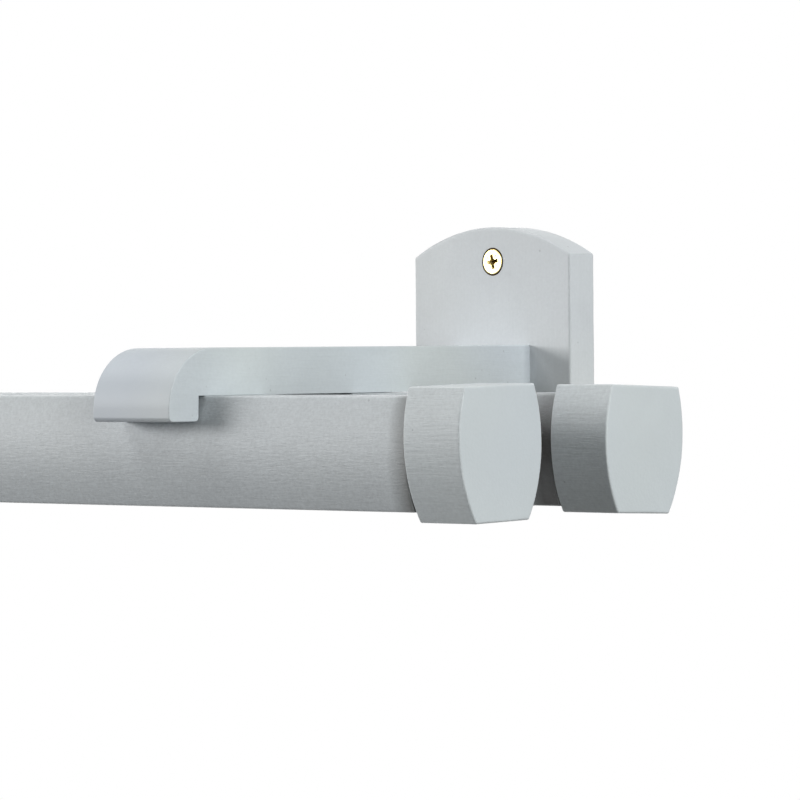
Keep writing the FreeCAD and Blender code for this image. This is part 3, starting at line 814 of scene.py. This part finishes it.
# Bare wood in the countersinks, darkened far below beech: painted shade of the gap round each screw head.
BARE_WOOD_IN_SHADE = (0.085, 0.052, 0.030, 1.0)
PAINT_ROUGHNESS = 0.52
STREAK_ROUGHNESS = 0.08
WORN_SHINE = 0.08
BUMP_WEIGHT = 0.5
PAINT_IOR = 1.48
PAINT_COAT = 0.12
PAINT_COAT_ROUGHNESS = 0.5

BEECH_GRAIN_SCALES = (70, 1500, 1500)
BEECH_FLECK_SCALES = (380, 3200, 3200)
BEECH_GRAIN_WEIGHT = 0.7
BEECH_FLECK_WEIGHT = 0.3
BEECH_COLOURS = ((0.25, (0.42, 0.25, 0.13)), (0.55, (0.60, 0.39, 0.22)), (0.8, (0.68, 0.48, 0.30)))
BEECH_SMOOTHEST = 0.55
BEECH_ROUGHEST = 0.72
BEECH_BUMP = 0.03 * MM

ZINC_TINT_SCALE = 420
ZINC_TINT_DISTORTION = 1.5
ZINC_MARK_SCALE = 5200
ZINC_COLOURS = ((0.35, (0.80, 0.60, 0.22)), (0.5, (0.84, 0.70, 0.32)), (0.62, (0.86, 0.77, 0.46)))
# The plating's colour in painted shade, with some oil, deep in the recess and on the rim.
ZINC_SHADED_IN_RECESS = (0.13, 0.085, 0.02, 1.0)
ZINC_SMOOTHEST = 0.34
ZINC_ROUGHEST = 0.46
RECESS_ROUGHNESS = 0.1
ZINC_BUMP = 0.004 * MM

FLOOR_MOTTLE_SCALE = 3
FLOOR_COLOURS = ((NOISE_LOW, (0.80, 0.80, 0.80)), (NOISE_HIGH, (0.83, 0.83, 0.83)))
FLOOR_ROUGHNESS = 0.8


def even(scale):
    """One noise scale for all three axes."""
    return (scale, scale, scale)


def wood_streaks(graph, place, paint):
    """Streaks and dashes along the grain, round zero.

    The dashes are pores that the paint leaves open, dark, and ridges that catch it, light.
    """
    def grained(along_share, across_share, detail, roughness):
        """Noise that is drawn out along the grain."""
        scale = [paint["across"] * across_share] * 3
        scale[paint["axis"]] = paint["along"] * along_share
        return graph.round_zero(place, scale, detail=detail, roughness=roughness)

    fine = graph.math("MULTIPLY", grained(*FINE_GRAIN), FINE_WEIGHT)
    broad = graph.math("MULTIPLY", grained(*BROAD_GRAIN), BROAD_WEIGHT)
    short = grained(*SHORT_GRAIN)
    pores = graph.remap(short, DASH_START, DASH_FULL, 0.0, 1.0)
    ridges = graph.remap(short, -DASH_FULL, -DASH_START, 1.0, 0.0)
    dashes = graph.math("SUBTRACT", ridges, pores)
    return graph.math("ADD", graph.math("ADD", fine, broad), graph.math("MULTIPLY", dashes, DASH_WEIGHT))


def drifted(paint, shares):
    """A paint's colour at one end of its drift."""
    pairs = zip(paint["colour"], shares)
    return tuple(channel * (1 + paint["drift"] * share) for channel, share in pairs)


def toned_paint(graph, place, paint, tone):
    """The paint's colour times a tone, its tint drifting slowly between a greener and a more violet grey."""
    drift = graph.noise(place, even(DRIFT_SCALE), detail=1.0)
    violet, greener = drifted(paint, VIOLET_SHARES), drifted(paint, GREENER_SHARES)
    base = graph.ramp(drift, ((VIOLET_BELOW, violet), (GREENER_ABOVE, greener)))
    tint = graph.node("ShaderNodeCombineXYZ", {"X": tone, "Y": tone, "Z": tone}).outputs["Vector"]
    return graph.mix(1.0, base, tint, blend="MULTIPLY")


def shaded_ends(graph, colour, place, upward, mottle, rod):
    """A rod's colour with painted shade toward both its ends, where the finials shade it."""
    start, full, low_share, high_share, finial_shade_colour = FINIAL_SHADE[rod]
    rod_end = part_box(rod)[1].x
    run = graph.node("ShaderNodeSeparateXYZ", {"Vector": place}).outputs["X"]
    near = graph.remap(graph.math("ABSOLUTE", run), rod_end - start, rod_end - full, 0.0, 1.0)
    uneven = graph.math("ADD", graph.math("MULTIPLY", mottle, FINIAL_SHADE_UNEVENNESS), 1.0)
    share = graph.remap(upward, FINIAL_SHADE_LOW_NORMAL, FINIAL_SHADE_HIGH_NORMAL, low_share, high_share)
    return graph.mix(graph.math("MULTIPLY", near, graph.math("MULTIPLY", uneven, share)), colour, finial_shade_colour)


def specked(graph, colour, place):
    """A colour with dark pits and light specks in it, and the pits."""
    cells = graph.node("ShaderNodeTexVoronoi", {"Vector": place, "Scale": SPECK_SCALE, "Randomness": 1.0})
    chosen = graph.node("ShaderNodeSeparateColor", {"Color": cells.outputs["Color"]})
    spot = graph.remap(cells.outputs["Distance"], SPOT_FULL, SPOT_END, 1.0, 0.0)
    pits = graph.math("MULTIPLY", spot, graph.math("GREATER_THAN", chosen.outputs["Red"], WITHOUT_PIT))
    light = graph.math("GREATER_THAN", chosen.outputs["Green"], WITHOUT_LIGHT_SPECK)
    light = graph.math("MULTIPLY", spot, light)
    colour = graph.mix(graph.math("MULTIPLY", pits, PIT_WEIGHT), colour, PIT_PAINT)
    colour = graph.mix(graph.math("MULTIPLY", light, LIGHT_SPECK_WEIGHT), colour, LIGHT_SPECK_PAINT)
    return colour, pits


def edges_worn_and_highlit(graph, colour, wear_and_highlight, mottle, edge_tone):
    """A colour lightened on the edges, part wear and part painted highlight, or darkened there where the
    paint's edge setting is below zero.
    """
    wear = graph.math("MULTIPLY", wear_and_highlight, graph.remap(mottle, -WEAR_MOTTLE, WEAR_MOTTLE, LEAST_WEAR, MOST_WEAR))
    edge_paint = RUBBED_AND_HIGHLIT_PAINT if edge_tone > 0 else DARKENED_PAINT
    return graph.mix(graph.math("MULTIPLY", wear, abs(edge_tone)), colour, edge_paint)


def painted_wood(name, kind, dusty_rod=None):
    """Aluminium-grey paint over wood: streaks and dashes along the grain, mottling, specks, and edges
    lightened by wear and painted highlight.

    A shaded rod's paint is darkened toward both its ends by painted shade from the finials.
    """
    graph = Graph(bpy.data.materials.new(name))
    paint = PAINTS[kind]
    coordinates = graph.node("ShaderNodeTexCoord")
    place = coordinates.outputs["Object"]
    facing = graph.node("ShaderNodeSeparateXYZ", {"Vector": coordinates.outputs["Normal"]})
    end_face = graph.math("ABSOLUTE", facing.outputs[paint["axis"]])
    mottle = graph.round_zero(place, even(MOTTLE_SCALE), detail=3.0, distortion=MOTTLE_DISTORTION)
    film = graph.round_zero(place, even(FILM_SCALE))

    # the cut ends of the grain are filled with paint, so streaks show on the long sides only
    streak_share = graph.remap(end_face, END_FACE_START, END_FACE_FULL, 1.0, END_FACE_STREAKS)
    streaks = graph.math("MULTIPLY", wood_streaks(graph, place, paint), streak_share)
    tone = graph.math("MULTIPLY", streaks, paint["grain"])
    tone = graph.math("ADD", tone, graph.math("MULTIPLY", mottle, MOTTLE_WEIGHT))
    speckle = graph.math("MULTIPLY", streak_share, paint["speckle"])
    tone = graph.math("ADD", tone, graph.math("MULTIPLY", film, speckle))
    tone = graph.math("ADD", tone, graph.remap(end_face, END_GAIN_START, END_GAIN_FULL, 1.0, END_FACE_GAIN))

    colour = toned_paint(graph, place, paint, tone)
    # painted shade beside the finials, darkest low on the rod's side
    if dusty_rod:
        colour = shaded_ends(graph, colour, place, facing.outputs["Z"], mottle, dusty_rod)
    colour, pits = specked(graph, colour, place)
    # painted highlight with some wear: the paint is lightened on rounded edges, or darkened there on the
    # plates
    wear_and_highlight = graph.node("ShaderNodeAttribute", attribute_name="edge_wear_and_highlight").outputs["Fac"]
    colour = edges_worn_and_highlit(graph, colour, wear_and_highlight, mottle, paint["edge_tone"])
    # the countersinks' bare wood, darkened with painted shade
    bare = graph.node("ShaderNodeAttribute", attribute_name="bare_wood_in_shade").outputs["Fac"]
    colour = graph.mix(bare, colour, BARE_WOOD_IN_SHADE)

    roughness = graph.math("ADD", graph.math("MULTIPLY", streaks, STREAK_ROUGHNESS), PAINT_ROUGHNESS)
    roughness = graph.math("SUBTRACT", roughness, graph.math("MULTIPLY", wear_and_highlight, WORN_SHINE))
    height = graph.math("MULTIPLY", streaks, BUMP_WEIGHT)
    height = graph.math("ADD", height, graph.math("MULTIPLY", film, BUMP_WEIGHT))
    height = graph.math("SUBTRACT", height, graph.math("MULTIPLY", pits, BUMP_WEIGHT))
    bump = graph.node("ShaderNodeBump", {"Height": height, "Strength": 1.0, "Distance": paint["bump"]})
    graph.set(Base_Color=colour, Roughness=roughness, Normal=bump.outputs["Normal"])
    graph.set(IOR=PAINT_IOR, Coat_Weight=PAINT_COAT, Coat_Roughness=PAINT_COAT_ROUGHNESS)
    return graph.owner


def bare_beech(name):
    """Unpainted beech for the pegs: warm, with short darker flecks along the grain."""
    graph = Graph(bpy.data.materials.new(name))
    place = graph.node("ShaderNodeTexCoord").outputs["Object"]
    grain = graph.noise(place, BEECH_GRAIN_SCALES, detail=3.0)
    flecks = graph.noise(place, BEECH_FLECK_SCALES)
    tone = graph.math("MULTIPLY", grain, BEECH_GRAIN_WEIGHT)
    tone = graph.math("ADD", tone, graph.math("MULTIPLY", flecks, BEECH_FLECK_WEIGHT))
    bump = graph.node("ShaderNodeBump", {"Height": grain, "Strength": 1.0, "Distance": BEECH_BUMP})
    roughness = graph.remap(flecks, NOISE_LOW, NOISE_HIGH, BEECH_SMOOTHEST, BEECH_ROUGHEST)
    graph.set(Base_Color=graph.ramp(tone, BEECH_COLOURS), Roughness=roughness, Normal=bump.outputs["Normal"])
    return graph.owner


def yellow_zinc(name):
    """Bright yellow zinc: pale gold with faint rainbow tints and fine marks from the tumbling drum."""
    graph = Graph(bpy.data.materials.new(name))
    place = graph.node("ShaderNodeTexCoord").outputs["Object"]
    tint = graph.noise(place, even(ZINC_TINT_SCALE), distortion=ZINC_TINT_DISTORTION)
    # painted shade, with some oil, in the recess and on the rim
    recess_shade = graph.node("ShaderNodeAttribute", attribute_name="recess_shade").outputs["Fac"]
    colour = graph.mix(recess_shade, graph.ramp(tint, ZINC_COLOURS), ZINC_SHADED_IN_RECESS)
    marks = graph.noise(place, even(ZINC_MARK_SCALE))
    roughness = graph.remap(marks, NOISE_LOW, NOISE_HIGH, ZINC_SMOOTHEST, ZINC_ROUGHEST)
    roughness = graph.math("ADD", roughness, graph.math("MULTIPLY", recess_shade, RECESS_ROUGHNESS))
    bump = graph.node("ShaderNodeBump", {"Height": marks, "Strength": 1.0, "Distance": ZINC_BUMP})
    graph.set(Base_Color=colour, Roughness=roughness, Normal=bump.outputs["Normal"], Metallic=1.0)
    return graph.owner


def finish_piece(piece, body, material, nodes):
    """Gives a piece its material and its body, and hides the nodes that it stands for."""
    piece.data.materials.clear()
    piece.data.materials.append(material)
    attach(piece, body)
    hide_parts(*nodes)


def place_screw(node, mesh, direction, turn, material, rise=0):
    """Puts a copy of a screw in its node's place, its head at the end that the direction points away from.

    The rise is how far the head stands out over the node's.
    """
    low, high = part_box(node)
    middle = (low + high) / 2
    outward = -Vector(direction)
    reach = Vector((abs(outward.x), abs(outward.y), abs(outward.z))).dot(high - low) / 2
    head = middle + outward * (reach + rise)
    piece = bpy.data.objects.new(f"threaded_{node}", mesh.copy())
    bpy.context.scene.collection.objects.link(piece)
    piece.data.transform(aim(head, outward) @ Matrix.Rotation(turn, 4, "Z"))
    finish_piece(piece, "root", material, [node])


def make_screws(material):
    """All twelve screws, each kind from one mesh; their lengths come from the nodes' boxes."""
    def length(node, axis):
        low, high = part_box(node)
        return (high - low)[axis]

    plate_low, plate_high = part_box("wall_plate_right")
    plate = plate_high.y - plate_low.y
    arm_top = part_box("bracket_arm_right")[1].z
    rod_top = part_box("front_rod")[1].z
    wall = make_screw_mesh("wall", length("wall_screw_upper_right", 1), plate - HEAD_SINK)
    arm = make_screw_mesh("wood", length("arm_screw_outer_right", 1), plate - HEAD_SINK)
    rod = make_screw_mesh("wood", length("rod_screw_front_right", 2), arm_top - rod_top - HEAD_SINK)
    for end, side in (("right", 1), ("left", -1)):
        for level, sign in (("upper", 1), ("lower", -1)):
            turn = sign * WALL_SCREW_TURN
            place_screw(f"wall_screw_{level}_{end}", wall, (0, 1, 0), turn, material, HEAD_RISE)
        for which, sign in (("outer", side), ("inner", -side)):
            place_screw(f"arm_screw_{which}_{end}", arm, (0, -1, 0), sign * WOOD_SCREW_TURN, material)
        for row, sign in (("front", 1), ("rear", -1)):
            place_screw(f"rod_screw_{row}_{end}", rod, (0, 0, -1), sign * WOOD_SCREW_TURN, material)


def make_wood():
    """All painted pieces of wood, and the bare pegs inside the finials."""
    arm_paint = painted_wood("painted_arms", "arms")
    plate_paint = painted_wood("painted_plates", "plates")
    finial_paint = painted_wood("painted_finials", "finials")
    beech = bare_beech("bare_beech")
    for row in ("front", "rear"):
        rod = make_rod(f"{row}_rod")
        smooth(rod)
        # each rod's paint carries painted shade beside its finials
        rod_paint = painted_wood(f"painted_{row}_rod", "rods", dusty_rod=f"{row}_rod")
        finish_piece(rod, "root", rod_paint, [f"{row}_rod"])
    for end, side in (("right", 1), ("left", -1)):
        for node, make, material in ((f"bracket_arm_{end}", make_arm, arm_paint),
                                     (f"wall_plate_{end}", make_plate, plate_paint)):
            piece = make(node, end)
            smooth(piece)
            finish_piece(piece, "root", material, [node])
        for row in ("front", "rear"):
            node = f"finial_{row}_{end}"
            finial = make_finial(node, side)
            smooth(finial)
            finish_piece(finial, node, finial_paint, [node])
            peg = frame["nodes"][f"finial_peg_{row}_{end}"]
            peg.data.materials.clear()
            peg.data.materials.append(beech)


def make_camera():
    """A long lens near the front finial's level, looking along the rods' ends from the right."""
    data = bpy.data.cameras.new("camera")
    data.sensor_width = CAMERA_SENSOR
    data.lens = CAMERA_LENS
    data.clip_start = CAMERA_NEAR
    data.clip_end = CAMERA_FAR
    camera = bpy.data.objects.new("camera", data)
    bpy.context.scene.collection.objects.link(camera)
    facing = (Matrix.Rotation(CAMERA_TURN, 4, "Z") @ Matrix.Rotation(QUARTER_TURN + CAMERA_TILT, 4, "X")
              @ Matrix.Rotation(CAMERA_ROLL, 4, "Z"))
    camera.matrix_world = Matrix.Translation(CAMERA_PLACE) @ facing
    bpy.context.scene.camera = camera


def make_lights():
    """Soft boxes round the right-hand bracket, each aimed at it."""
    for name, (turn, lift, distance, width, height, level, colour) in SOFT_BOXES.items():
        data = bpy.data.lights.new(name, "AREA")
        data.shape = "RECTANGLE"
        data.size = width
        data.size_y = height
        data.color = colour
        data.energy = level * (math.pi * distance) ** 2
        light = bpy.data.objects.new(name, data)
        bpy.context.scene.collection.objects.link(light)
        turn, lift = math.radians(turn), math.radians(lift)
        away = Vector((math.sin(turn) * math.cos(lift), -math.cos(turn) * math.cos(lift), math.sin(lift)))
        light.location = AIM + away * distance
        light.rotation_mode = "QUATERNION"
        light.rotation_quaternion = away.to_track_quat("Z", "Y")


def make_world():
    """White where the camera, a gloss or a clear material sees it; as light it has the world's level."""
    world = bpy.data.worlds.new("studio")
    bpy.context.scene.world = world
    graph = Graph(world)
    graph.tree.nodes.clear()
    rays = graph.node("ShaderNodeLightPath").outputs
    seen = graph.math("MAXIMUM", rays["Is Camera Ray"], rays["Is Glossy Ray"])
    seen = graph.math("MAXIMUM", seen, rays["Is Transmission Ray"])
    light, white = (graph.node("ShaderNodeBackground", {"Color": (1, 1, 1, 1), "Strength": strength})
                    for strength in (WORLD_LEVEL, 1.0))
    shown = {0: seen, 1: light.outputs["Background"], 2: white.outputs["Background"]}
    mix = graph.node("ShaderNodeMixShader", shown)
    graph.node("ShaderNodeOutputWorld", {"Surface": mix.outputs["Shader"]})


def make_floor():
    """A pale floor well below the part, which fades into the white round it and is clear from below."""
    build = bmesh.new()
    flat = Matrix.Identity(4)
    rings = [circle(FLOOR_RADIUS * share, FLOOR_LEVEL, FLOOR_SEGMENTS, flat) for share in FLOOR_RINGS]
    skin(build, rings, close_start=False, close_end=False)
    bmesh.ops.remove_doubles(build, verts=build.verts, dist=MERGE)
    for face in build.faces:
        if face.normal.z < 0:
            face.normal_flip()
    floor = new_piece("floor", build)
    graph = Graph(bpy.data.materials.new("pale_floor"))
    place = graph.node("ShaderNodeTexCoord").outputs["Object"]
    tone = graph.noise(place, even(FLOOR_MOTTLE_SCALE), detail=3.0)
    graph.set(Base_Color=graph.ramp(tone, FLOOR_COLOURS), Roughness=FLOOR_ROUGHNESS)
    distance = graph.node("ShaderNodeVectorMath", {0: place}, operation="LENGTH").outputs["Value"]
    fade = graph.remap(distance, FLOOR_FADE_START, FLOOR_FADE_END, 0.0, 1.0)
    hidden = graph.math("MAXIMUM", fade, graph.node("ShaderNodeNewGeometry").outputs["Backfacing"])
    clear = graph.node("ShaderNodeBsdfTransparent")
    mix = graph.node("ShaderNodeMixShader", {0: hidden, 1: graph.shader.outputs["BSDF"],
                                             2: clear.outputs["BSDF"]})
    output = graph.tree.nodes["Material Output"]
    graph.tree.links.new(mix.outputs["Shader"], output.inputs["Surface"])
    floor.data.materials.append(graph.owner)


make_camera()
make_wood()
make_screws(yellow_zinc("yellow_zinc"))
make_lights()
make_world()
make_floor()
bpy.context.scene.view_settings.view_transform = "Standard"
